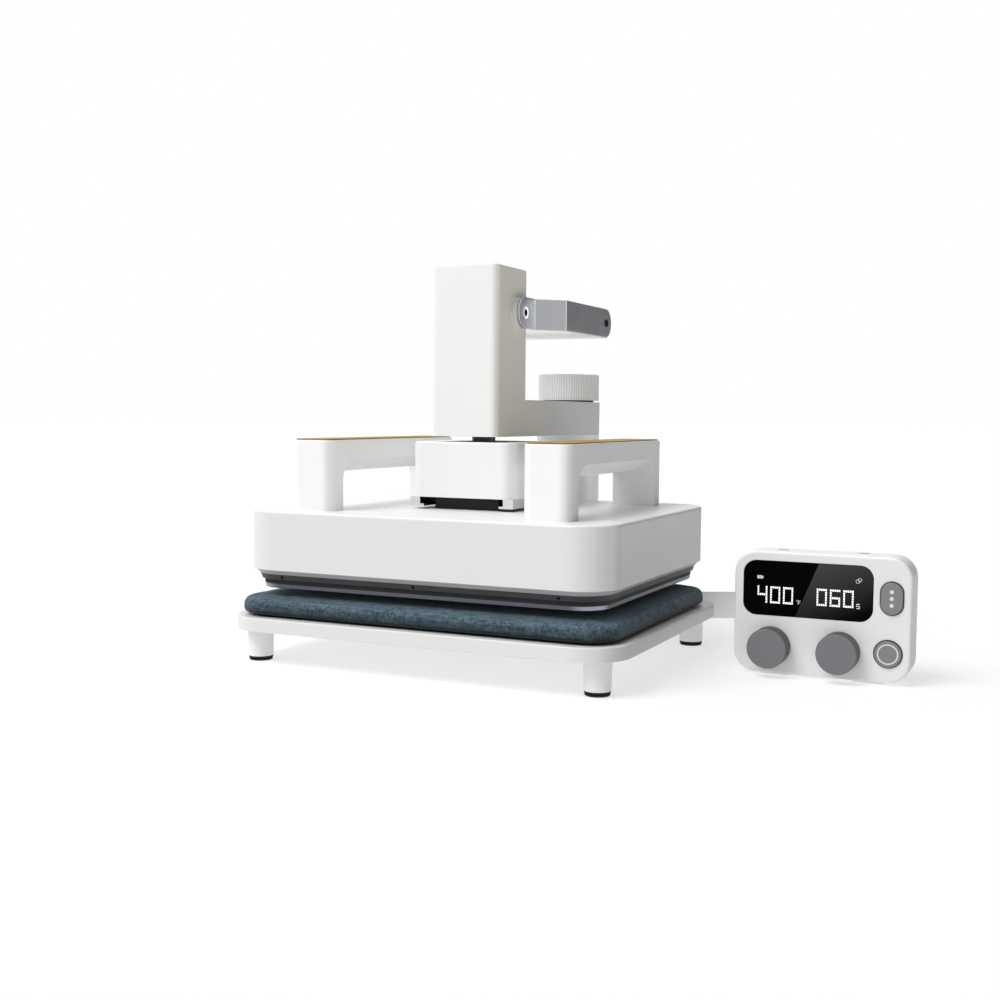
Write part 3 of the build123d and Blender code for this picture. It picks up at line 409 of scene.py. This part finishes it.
def paint_greys():
    # Dials: painted highlight round their rims and painted shade on their sides.
    dial = surface("dial_grey", (0.148, 0.151, 0.161), 0.52, grain=2400.0, relief=0.22,
                   mottle=0.03, wear=0.25, radius=0.0008, wear_and_highlight_gain=2.0)
    dial.scale_colour(dial.remap(dial.facing_either("Y"), 0.15, 0.75, 0.34, 1.0))
    dress(dial.material, "temperature_dial", "time_dial")
    button = surface("button_grey", (0.19, 0.193, 0.20), 0.42, grain=2600.0, relief=0.14,
                     mottle=0.03, wear=0.15)
    # Painted shade round the buttons' rounded rims.
    button.scale_colour(button.remap(button.facing_either("Y"), 0.55, 0.92, 0.08, 1.0))
    dress(button.material, "menu_button", "start_button")
    key = surface("key_grey", (0.66, 0.66, 0.66), 0.46, grain=2600.0, relief=0.16, mottle=0.02)
    dress(key.material, "power_key")


def paint_strip():
    """Straw-coloured strip with short dark and light flecks along it, and painted shade on its side
    faces.
    """
    g = surface("straw_strip", (0.49, 0.32, 0.045), 0.45, grain=900.0, relief=0.12, mottle=0.05,
                wear=0.2, Specular_IOR_Level=0.08)
    fibres = g.noise(260.0, 3.0, g.scaled((1, 0.06, 1)), roughness=0.7)
    fleck = g.remap(fibres, 0.35, 0.65, 0.0, 1.0)
    tone = g.mix(fleck, (0.38, 0.23, 0.022, 1), g.colour())
    # Painted shade on the side faces.
    side = g.remap(g.facing("Z"), 0.3, 0.8, 1.0, 0.0)
    g.recolour(g.mix(side, tone, (0.22, 0.125, 0.02, 1)))
    dress(g.material, "left_handle_strip", "right_handle_strip")


GLARE_SLANT, FADE_SLANT = 0.41, 0.42


def paint_window():
    """Near-black window with a painted reflection: smoke grey on the right of a slanting line,
    fading downwards.
    """
    g = surface("smoked_window", (0.004, 0.004, 0.0045), 0.10, grain=300.0, relief=0.004,
                mottle=0.1, wear=0.0, radius=0.0003, rough_span=0.04, Specular_IOR_Level=0.01)
    low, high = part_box("display_window")
    middle = (low + high) / 2
    across, up = g.offset("X", middle.x), g.offset("Z", middle.z)
    side = g.math("SUBTRACT", across, g.math("MULTIPLY", up, GLARE_SLANT))
    # Painted reflection: lighter on the right of the slanting line.
    lit = g.remap(side, -0.2 * MM, 0.2 * MM, 0.0, 1.0)
    slope = g.math("SUBTRACT", up, g.math("MULTIPLY", across, FADE_SLANT))
    fade = g.remap(slope, -42.0 * MM, 24.0 * MM, 0.002, 0.058)
    tint = g.add("CombineXYZ", X=fade, Y=fade, Z=fade).outputs[0]
    g.recolour(g.mix(lit, (0.0015, 0.0012, 0.001, 1), tint))
    dress(g.material, "display_window")


def paint_insides():
    """Parts that show only when something is taken off."""
    board = surface("circuit_green", (0.02, 0.16, 0.06), 0.4, grain=700.0, relief=0.1, mottle=0.15)
    traces = board.add("TexVoronoi", {"feature": "DISTANCE_TO_EDGE", "distance": "CHEBYCHEV"},
                       Vector=board.place, Scale=160.0).outputs["Distance"]
    line = board.remap(traces, 0.04, 0.06, 1.0, 0.0)
    board.recolour(board.mix(line, board.colour(), (0.10, 0.32, 0.12, 1)))
    dress(board.material, "control_board")
    sleeve = surface("battery_sleeve", (0.05, 0.12, 0.32), 0.3, grain=500.0, relief=0.1,
                     mottle=0.08)
    dress(sleeve.material, "battery")
    felt = surface("glass_felt", (0.62, 0.58, 0.44), 0.9, grain=380.0, relief=0.9, mottle=0.12)
    dress(felt.material, "insulation_blanket")


THREADS, SLUBS = 1150.0, 430.0


def cloth_material():
    """Heathered slate-blue weave: crossing threads, slubs and a soft sheen."""
    g = Graph("pad_cloth")
    across = g.noise(THREADS, 1.0, g.scaled((1, 0.10, 1)))
    along = g.noise(THREADS, 1.0, g.scaled((0.10, 1, 1)))
    weave = g.math("MAXIMUM", across, along)
    checks = g.add("TexChecker", Vector=g.place, Scale=THREADS * 0.6).outputs["Fac"]
    slubs = g.noise(SLUBS, 3.0, g.scaled((1, 0.18, 0.6)), roughness=0.8)
    slubs_across = g.noise(SLUBS, 3.0, g.scaled((0.18, 1, 0.6)), roughness=0.8)
    heather = g.math("MULTIPLY", g.math("ADD", slubs, slubs_across), 0.5)
    light = g.remap(heather, 0.40, 0.62, 0.0, 1.0)
    cloud = g.noise(22.0, 3.0)
    dark_thread, light_thread = (0.010, 0.020, 0.028, 1), (0.066, 0.100, 0.124, 1)
    tone = g.mix(light, dark_thread, light_thread)
    tone = g.mix(g.remap(weave, 0.45, 0.75, 0.25, 0.0), tone, (0.006, 0.012, 0.017, 1))
    tone = g.mix(g.remap(cloud, 0.35, 0.65, 0.0, 0.16), tone, (0.04, 0.062, 0.078, 1))
    g.recolour(tone)
    # Painted light and shade: top and upper rounding lightened, lower rounding darkened, right side
    # darker.
    g.scale_colour(g.remap(g.facing("Z"), -0.5, 0.75, 0.13, 2.5))
    g.scale_colour(g.remap(g.facing("X"), 0.5, 0.95, 1.0, 0.74))
    g.feed(g.shader.inputs["Roughness"], g.remap(weave, 0.3, 0.8, 0.95, 0.75))
    height = g.math("ADD", g.math("MULTIPLY", weave, 0.7), g.math("MULTIPLY", checks, 0.3))
    slub_relief = g.bump(heather, 0.35, 0.0006)
    g.feed(g.shader.inputs["Normal"], g.bump(height, 0.55, 0.0004, slub_relief))
    g.shader.inputs["Sheen Weight"].default_value = 0.2
    g.shader.inputs["Sheen Roughness"].default_value = 0.45
    g.shader.inputs["Sheen Tint"].default_value = (0.62, 0.72, 0.80, 1)
    g.shader.inputs["Specular IOR Level"].default_value = 0.25
    return g.material


def light_material(name, colour, strength):
    """Mark that glows, with a faint unevenness: lit on the display, painted light where the mark is
    printed.
    """
    g = Graph(name)
    uneven = g.remap(g.noise(500.0), 0.3, 0.7, 0.92, 1.0)
    tone = g.scaled_tone(colour, uneven)
    g.recolour(tone)
    g.feed(g.shader.inputs["Emission Color"], tone)
    g.shader.inputs["Emission Strength"].default_value = strength
    g.feed(g.shader.inputs["Roughness"], g.remap(uneven, 0.9, 1.0, 0.45, 0.35))
    return g.material


# ---------------------------------------------------------------- mesh helpers
def new_object(name, bm, material, smooth=True):
    data = bpy.data.meshes.new(name)
    bmesh.ops.recalc_face_normals(bm, faces=bm.faces)
    bm.to_mesh(data)
    bm.free()
    made = bpy.data.objects.new(name, data)
    bpy.context.scene.collection.objects.link(made)
    data.materials.append(material)
    for polygon in data.polygons:
        polygon.use_smooth = smooth
    return made


def add_plate(bm, outline, y_front, y_back):
    """Closed flat plate whose outline lies in X and Z."""
    front = [bm.verts.new((x, y_front, z)) for x, z in outline]
    back = [bm.verts.new((x, y_back, z)) for x, z in outline]
    bm.faces.new(front)
    bm.faces.new(back[::-1])
    count = len(outline)
    for i in range(count):
        j = (i + 1) % count
        bm.faces.new((front[j], front[i], back[i], back[j]))


def rectangle(x0, z0, x1, z1):
    return [(x0, z0), (x1, z0), (x1, z1), (x0, z1)]


def circle(x, z, radius, count=32):
    turns = [2 * math.pi * i / count for i in range(count)]
    return [(x + radius * math.cos(t), z + radius * math.sin(t)) for t in turns]


def add_ring(bm, x, z, outer, inner, y_front, y_back, count=64):
    """Closed flat ring facing -Y."""
    loops = []
    for radius, y in ((outer, y_front), (inner, y_front), (inner, y_back), (outer, y_back)):
        loops.append([bm.verts.new((px, y, pz)) for px, pz in circle(x, z, radius, count)])
    for k in range(4):
        one, two = loops[k], loops[(k + 1) % 4]
        for i in range(count):
            j = (i + 1) % count
            bm.faces.new((one[i], one[j], two[j], two[i]))


# ---------------------------------------------------------------- display
DIGIT_W, DIGIT_H, DIGIT_GAP = 10.2 * MM, 17.2 * MM, 2.45 * MM
DOT_GAP = 0.56 * MM
MARK_PROUD, MARK_DEPTH = 0.05 * MM, 0.05 * MM
SHAPES = {
    "0": ("#####", "#...#", "#...#", "#...#", "#...#", "#...#", "#####"),
    "4": ("#...#", "#...#", "#...#", "#####", "....#", "....#", "....#"),
    "6": ("#####", "#....", "#....", "#####", "#...#", "#...#", "#####"),
    "F": ("#####", "#....", "#....", "####.", "#....", "#....", "#...."),
    "s": ("######", "#.....", "#.....", "######", ".....#", ".....#", "######"),
}


def add_glyph(bm, shape, x0, z0, width, height, gap, y_front, y_back):
    """Dots of one character, from its lower left corner."""
    cell_w, cell_h = width / len(shape[0]), height / len(shape)
    for row, line in enumerate(shape):
        for column, mark in enumerate(line):
            if mark == "#":
                x, z = x0 + column * cell_w, z0 + (len(shape) - 1 - row) * cell_h
                half = gap / 2
                dot = rectangle(x + half, z + half, x + cell_w - half, z + cell_h - half)
                add_plate(bm, dot, y_front, y_back)


READOUTS = (("temperature_readout", "400", -48.7 * MM, -15.1 * MM),
            ("time_readout", "060", 9.1 * MM, -14.4 * MM))
UNIT_Z = -14.6 * MM
DEGREE_X, SECOND_X = -8.6 * MM, 47.2 * MM
F_SIZE, S_SIZE = (2.6 * MM, 4.0 * MM), (3.2 * MM, 4.8 * MM)
BATTERY_X, BATTERY_Z = -48.8 * MM, 8.9 * MM
BATTERY_BAR, BATTERY_PITCH = (1.25 * MM, 3.2 * MM), 1.9 * MM
LINK_X, LINK_Z, LINK_R, LINK_LINE = 48.9 * MM, 12.4 * MM, 1.9 * MM, 0.35 * MM


def display_frame():
    """Middle of the window, and the front and back of the marks on it."""
    low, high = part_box("display_window")
    return (low + high) / 2, low.y - MARK_PROUD, low.y + MARK_DEPTH


def build_numbers(bright):
    """Temperature and time, three characters each."""
    middle, front, back = display_frame()
    for name, text, x, z in READOUTS:
        bm = bmesh.new()
        left, bottom = middle.x + x, middle.z + z
        for i, character in enumerate(text):
            add_glyph(bm, SHAPES[character], left + i * (DIGIT_W + DIGIT_GAP), bottom,
                      DIGIT_W, DIGIT_H, DOT_GAP, front, back)
        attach(new_object(name, bm, bright, False), "base")


def build_units(dim):
    """Degree ring with its letter, and the letter for seconds."""
    middle, front, back = display_frame()
    bm = bmesh.new()
    x, z = middle.x + DEGREE_X, middle.z + UNIT_Z
    width, height = F_SIZE
    add_ring(bm, x - 0.9 * MM, z + height, 0.65 * MM, 0.4 * MM, front, back, 20)
    add_glyph(bm, SHAPES["F"], x, z, width, height, 0.06 * MM, front, back)
    width, height = S_SIZE
    add_glyph(bm, SHAPES["s"], middle.x + SECOND_X, z, width, height, 0.03 * MM, front, back)
    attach(new_object("unit_marks", bm, dim, False), "base")


def build_symbols(dim):
    """Battery of three bars with its tip, and two linked rings."""
    middle, front, back = display_frame()
    bm = bmesh.new()
    left, bottom = middle.x + BATTERY_X, middle.z + BATTERY_Z
    width, height = BATTERY_BAR
    for i in range(3):
        x = left + i * BATTERY_PITCH
        add_plate(bm, rectangle(x, bottom, x + width, bottom + height), front, back)
    x = left + 5.5 * MM
    tip = rectangle(x, bottom + height / 4, x + 0.5 * MM, bottom + height * 3 / 4)
    add_plate(bm, tip, front, back)
    for step in (-1.0 * MM, 1.0 * MM):
        x, z = middle.x + LINK_X + step, middle.z + LINK_Z + step * 0.7
        add_ring(bm, x, z, LINK_R, LINK_R - LINK_LINE, front, back, 32)
    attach(new_object("status_symbols", bm, dim, False), "base")


MENU_DOT_R, MENU_DOT_PITCH = 1.9 * MM, 6.5 * MM
START_RING_R, START_RING_INNER = 9.86 * MM, 8.6 * MM


def build_button_marks(pale):
    """Three round dots on the upper button and a light ring on the lower one."""
    low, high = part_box("menu_button")
    middle = (low + high) / 2
    bm = bmesh.new()
    for i in (-1, 0, 1):
        dot = circle(middle.x, middle.z + i * MENU_DOT_PITCH, MENU_DOT_R)
        add_plate(bm, dot, low.y - 0.12 * MM, low.y + 0.1 * MM)
    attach(new_object("menu_dots", bm, pale, False), "menu_button")

    low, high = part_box("start_button")
    middle = (low + high) / 2
    bm = bmesh.new()
    add_ring(bm, middle.x, middle.z, START_RING_R, START_RING_INNER,
             low.y - 0.05 * MM, low.y + 0.28 * MM)
    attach(new_object("start_light_ring", bm, pale, False), "start_button")


# ---------------------------------------------------------------- pad
PAD_CORNER = 36.0 * MM
PAD_EDGE, PAD_LOW_EDGE, PAD_FULLNESS = 7.6 * MM, 3.2 * MM, 0.8
PAD_STEPS = 12
PAD_VOXEL = 4.4 * MM
PAD_SWELL, PAD_EASE = 1.2 * MM, 1.4 * MM
PAD_HELD = 3.0 * MM
PAD_PRESSURE, CLOTH_STEPS = 4.0, 20
PAD_WAVES = ((38.0, 0.25 * MM), (110.0, 0.10 * MM))
PAD_CALM_TOP = 4.0 * MM


def rounded_outline(half_x, half_y, radius, arc_steps, side_steps):
    """Points round a rectangle with rounded corners, evenly spaced along its sides."""
    points = []
    corners = ((1, 1, 0), (-1, 1, 90), (-1, -1, 180), (1, -1, 270))
    for sx, sy, start in corners:
        cx, cy = sx * (half_x - radius), sy * (half_y - radius)
        for i in range(arc_steps + 1):
            angle = math.radians(start + 90.0 * i / arc_steps)
            points.append((cx + radius * math.cos(angle), cy + radius * math.sin(angle)))
        length = 2 * (half_x - radius) if sx * sy > 0 else 2 * (half_y - radius)
        x, y = points[-1]
        dx, dy = (-sx * length, 0) if sx * sy > 0 else (0, -sy * length)
        for i in range(1, side_steps):
            points.append((x + dx * i / side_steps, y + dy * i / side_steps))
    return points


def pad_start(low, high):
    """Closed slab with round edges, with what smoothing takes off its outline added."""
    middle = (low + high) / 2
    half_x, half_y = (high.x - low.x) / 2 + PAD_EASE, (high.y - low.y) / 2 + PAD_EASE
    bottom, top = low.z + 0.1 * MM, high.z - 0.8 * MM
    rise = (top - bottom) / 2
    bm = bmesh.new()
    loops = []
    for i in range(PAD_STEPS + 1):
        angle = math.radians(-90 + 180 * i / PAD_STEPS)
        edge = PAD_EDGE if angle > 0 else PAD_LOW_EDGE
        inset = edge * (1 - math.cos(angle) ** PAD_FULLNESS)
        z = bottom + rise + rise * math.sin(angle)
        ring = rounded_outline(half_x - inset, half_y - inset, PAD_CORNER - inset, 10, 14)
        loops.append([bm.verts.new((middle.x + x, middle.y + y, z)) for x, y in ring])
    for one, two in zip(loops, loops[1:]):
        count = len(one)
        for i in range(count):
            j = (i + 1) % count
            bm.faces.new((one[i], one[j], two[j], two[i]))
    bm.faces.new(loops[0][::-1])
    bm.faces.new(loops[-1])
    return bm


def remesh(made, voxel):
    modifier = made.modifiers.new("remesh", "REMESH")
    modifier.mode = "VOXEL"
    modifier.voxel_size = voxel
    apply_modifier(made, modifier)


def apply_modifier(made, modifier):
    bpy.context.view_layer.objects.active = made
    with bpy.context.temp_override(object=made, active_object=made, selected_objects=[made]):
        bpy.ops.object.modifier_apply(modifier=modifier.name)


def inflate(made):
    """Let the cloth swell under a little pressure, held where it rests on its sheet."""
    low_z = min(v.co.z for v in made.data.vertices)
    held = made.vertex_groups.new(name="held")
    resting = [v.index for v in made.data.vertices if v.co.z < low_z + PAD_HELD]
    held.add(resting, 1.0, "REPLACE")
    cloth = made.modifiers.new("cloth", "CLOTH")
    cloth.settings.use_pressure = True
    cloth.settings.uniform_pressure_force = PAD_PRESSURE
    cloth.settings.vertex_group_mass = "held"
    cloth.settings.quality = 5
    cloth.settings.effector_weights.gravity = 0.0
    cloth.collision_settings.use_collision = False
    cloth.point_cache.frame_start, cloth.point_cache.frame_end = 1, CLOTH_STEPS
    scene = bpy.context.scene
    for step in range(1, CLOTH_STEPS + 1):
        scene.frame_set(step)
    solved = made.evaluated_get(bpy.context.evaluated_depsgraph_get())
    swollen = [v.co.copy() for v in solved.data.vertices]
    made.modifiers.remove(cloth)
    scene.frame_set(1)
    return swollen


def ease_into(made, swollen, low, high):
    """Move each point towards its swollen place, kept within the pad's space."""
    for vertex, target in zip(made.data.vertices, swollen):
        move = target - vertex.co
        if move.length > PAD_SWELL:
            move *= PAD_SWELL / move.length
        place = vertex.co + move
        wave = sum(noise.noise(place * scale) * height for scale, height in PAD_WAVES)
        side = min(1.0, abs(place.z - high.z) / PAD_CALM_TOP)
        place += vertex.normal * wave * (0.35 + 0.65 * side)
        place.x = min(max(place.x, low.x - PAD_EASE), high.x + PAD_EASE)
        place.y = min(max(place.y, low.y - PAD_EASE), high.y + PAD_EASE)
        place.z = min(max(place.z, low.z), high.z - 0.05 * MM)
        vertex.co = place
    made.data.update()


def build_pad():
    low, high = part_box("pad")
    cloth = cloth_material()
    made = new_object("press_pad", pad_start(low, high), cloth)
    remesh(made, PAD_VOXEL)
    ease_into(made, inflate(made), low, high)
    subdivision = made.modifiers.new("smooth", "SUBSURF")
    subdivision.levels = subdivision.render_levels = 1
    apply_modifier(made, subdivision)
    for polygon in made.data.polygons:
        polygon.use_smooth = True
    made.data.materials.clear()
    made.data.materials.append(cloth)
    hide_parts("pad")
    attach(made, "base")


def build_spring():
    """A copy of the coil, moving with the arm."""
    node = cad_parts["return_spring"]
    data = node.data.copy()
    data.transform(node.matrix_world)
    coil = bpy.data.objects.new("return_coil", data)
    bpy.context.scene.collection.objects.link(coil)
    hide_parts("return_spring")
    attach(coil, "arm")
    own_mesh(coil)


# ---------------------------------------------------------------- stage
FLOOR_RADIUS, FLOOR_DROP = 60.0, 0.2 * MM
FLOOR_GLOW = 1.10
BACKDROP = 1.0
SUN_STRENGTH = 1.7
STRIP_POWER = 30.0
STRIP_PLACE = Vector((2.6, 1.15, 0.5))


def build_floor():
    bm = bmesh.new()
    bmesh.ops.create_circle(bm, cap_ends=True, radius=FLOOR_RADIUS, segments=96)
    g = Graph("paper_floor")
    tone = g.mix(g.noise(3.0), (0.49, 0.49, 0.49, 1), (0.51, 0.51, 0.51, 1))
    g.recolour(tone)
    g.feed(g.shader.inputs["Emission Color"], tone)
    g.shader.inputs["Emission Strength"].default_value = FLOOR_GLOW
    g.shader.inputs["Roughness"].default_value = 0.8
    g.shader.inputs["Specular IOR Level"].default_value = 0.2
    floor = new_object("floor", bm, g.material, False)
    floor.location.z = -FLOOR_DROP


def world_node(tree, kind, *values):
    """Node of the world's tree with its first inputs set or linked."""
    made = tree.nodes.new("ShaderNode" + kind)
    for socket, value in zip(made.inputs, values):
        if isinstance(value, bpy.types.NodeSocket):
            tree.links.new(value, socket)
        elif value is not None:
            socket.default_value = value
    return made


def facing_strength(tree, direction, low, high, to_low, to_high):
    """Light strength that changes with how far a ray points along a direction."""
    ray = tree.nodes.new("ShaderNodeTexCoord").outputs["Generated"]
    dot = world_node(tree, "VectorMath", ray, Vector(direction).normalized())
    dot.operation = "DOT_PRODUCT"
    return world_node(tree, "MapRange", dot.outputs["Value"], low, high, to_low, to_high).outputs[0]


def build_world():
    """White surroundings: broad light from the upper left, and a grey flag at the right back."""
    world = bpy.data.worlds.new("studio")
    bpy.context.scene.world = world
    world.use_nodes = True
    tree = world.node_tree
    tree.nodes.clear()
    white = (1.0, 1.0, 1.0, 1.0)
    soft = facing_strength(tree, (-0.62, -0.50, 0.60), -0.25, 1.0, 0.0, 0.85)
    flag = facing_strength(tree, (0.42, 0.90, 0.05), 0.70, 0.97, 1.0, 0.20)
    diffuse = world_node(tree, "Background", white, soft)
    glossy = world_node(tree, "Background", white, flag)
    seen = world_node(tree, "Background", white, BACKDROP)
    path = tree.nodes.new("ShaderNodeLightPath")
    lit = world_node(tree, "MixShader", path.outputs["Is Glossy Ray"], diffuse.outputs[0],
                     glossy.outputs[0])
    mixed = world_node(tree, "MixShader", path.outputs["Is Camera Ray"], lit.outputs[0],
                       seen.outputs[0])
    world_node(tree, "OutputWorld", mixed.outputs[0])


def build_lights():
    sun = bpy.data.lights.new("key", "SUN")
    sun.energy = SUN_STRENGTH
    sun.angle = math.radians(35)
    made = bpy.data.objects.new("key", sun)
    made.rotation_mode = "QUATERNION"
    made.rotation_quaternion = Vector((-0.42, -0.62, 1.0)).to_track_quat("Z", "Y")
    bpy.context.scene.collection.objects.link(made)

    strip = bpy.data.lights.new("edge_strip", "AREA")
    strip.shape = "RECTANGLE"
    strip.size, strip.size_y = 0.30, 2.2
    strip.energy = STRIP_POWER
    made = bpy.data.objects.new("edge_strip", strip)
    made.location = STRIP_PLACE
    made.rotation_mode = "QUATERNION"
    made.rotation_quaternion = (STRIP_PLACE - Vector((0, 0, 0.3))).to_track_quat("Z", "Y")
    made.visible_diffuse = made.visible_camera = False
    bpy.context.scene.collection.objects.link(made)


CAMERA_PLACE = Vector((0.4819, -1.2681, 0.25417))
CAMERA_YAW, CAMERA_PITCH, CAMERA_ROLL = map(math.radians, (-25.397, -3.831, 0.426))
CAMERA_LENS = 45.52


def build_camera():
    forward = Vector((math.sin(CAMERA_YAW) * math.cos(CAMERA_PITCH),
                      math.cos(CAMERA_YAW) * math.cos(CAMERA_PITCH), math.sin(CAMERA_PITCH)))
    level = forward.cross(Vector((0, 0, 1))).normalized()
    up = level.cross(forward)
    right = level * math.cos(CAMERA_ROLL) + up * math.sin(CAMERA_ROLL)
    top = up * math.cos(CAMERA_ROLL) - level * math.sin(CAMERA_ROLL)
    turn = Matrix((right, top, -forward)).transposed().to_4x4()
    data = bpy.data.cameras.new("camera")
    data.lens = CAMERA_LENS
    data.sensor_width = 36.0
    data.clip_end = 200.0
    made = bpy.data.objects.new("camera", data)
    made.matrix_world = Matrix.Translation(CAMERA_PLACE) @ turn
    bpy.context.scene.collection.objects.link(made)
    bpy.context.scene.camera = made


# ---------------------------------------------------------------- build
paint_whites()
paint_knob()
paint_metals()
paint_rails()
paint_blacks()
paint_skirt()
paint_greys()
paint_strip()
paint_window()
paint_insides()
build_pad()
build_spring()
build_numbers(light_material("lit_numbers", (0.95, 0.97, 1.0), 0.5))
dim_light = light_material("dim_symbols", (0.72, 0.72, 0.72), 0.3)
build_units(dim_light)
build_symbols(dim_light)
# The menu dots are printed, so their faint glow is painted light.
build_button_marks(light_material("pale_marks", (0.62, 0.63, 0.64), 0.12))
build_floor()
build_world()
build_lights()
build_camera()
bpy.context.scene.view_settings.view_transform = "Standard"
